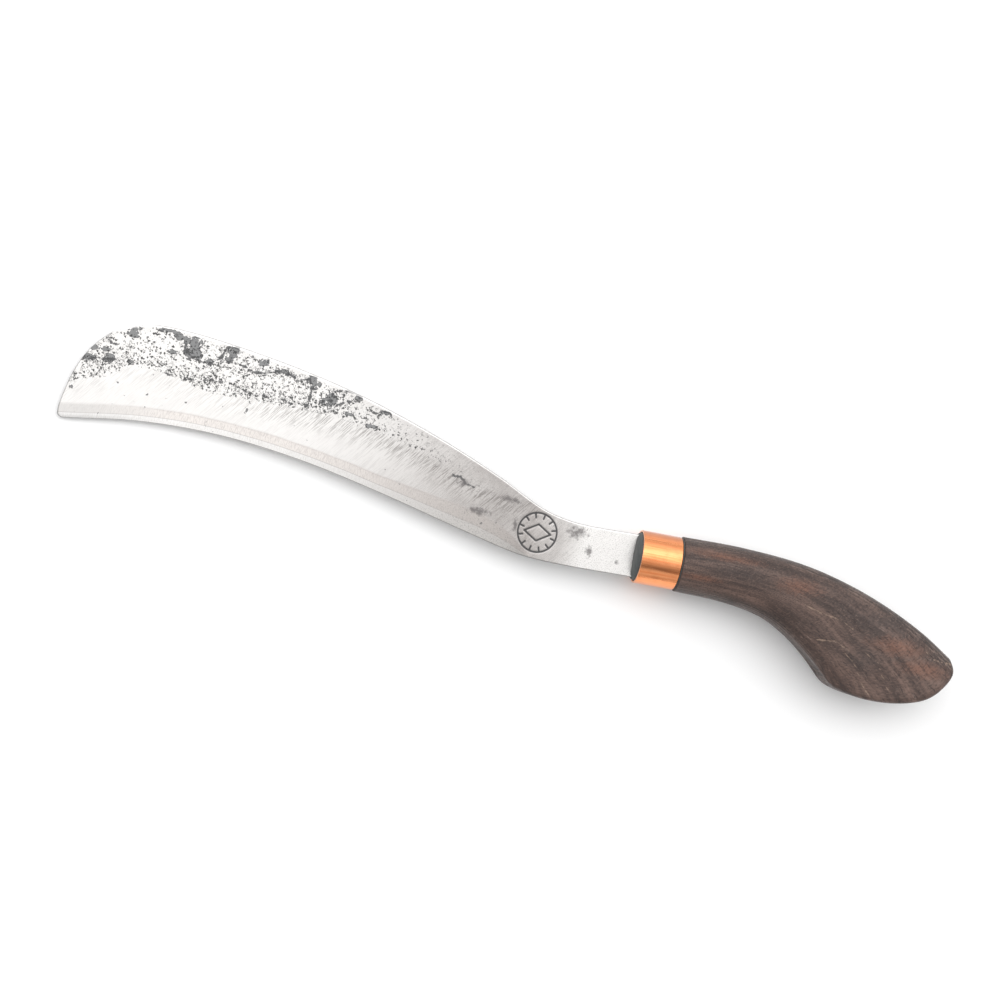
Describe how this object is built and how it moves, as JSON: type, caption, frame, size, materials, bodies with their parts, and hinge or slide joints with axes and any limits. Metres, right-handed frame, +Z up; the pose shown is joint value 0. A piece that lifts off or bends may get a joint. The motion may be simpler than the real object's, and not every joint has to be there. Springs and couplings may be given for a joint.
{
  "type": "swept-blade parang",
  "caption": "Long forged knife with a forward-swept widening blade, copper ferrule and curved dark hardwood grip with a flared butt.",
  "frame": {"origin": "middle of the underside of the knife's box, on the surface that it lies on", "axes": "+X from the blade's tip to the butt of the grip, +Y to the spine side, +Z up; the knife lies on its right side, resting on the end of the blade and the ferrule's front rim"},
  "size_m": [0.4924, 0.125, 0.0352],
  "materials": {
    "forged_steel": "hand-ground satin with dark forge scale left along the spine",
    "polished_copper": "polished copper pipe with fine lengthwise scratches",
    "black_resin": "cured dark resin, matte",
    "dark_hardwood": "oiled satin, open-grained"
  },
  "bodies": {
    "root": {"blade": "forged_steel", "ferrule": "polished_copper", "mouth_resin": "black_resin", "shoulder_resin_ring": "black_resin", "tang_bedding": "black_resin", "handle": "dark_hardwood"}
  },
  "joints": []
}
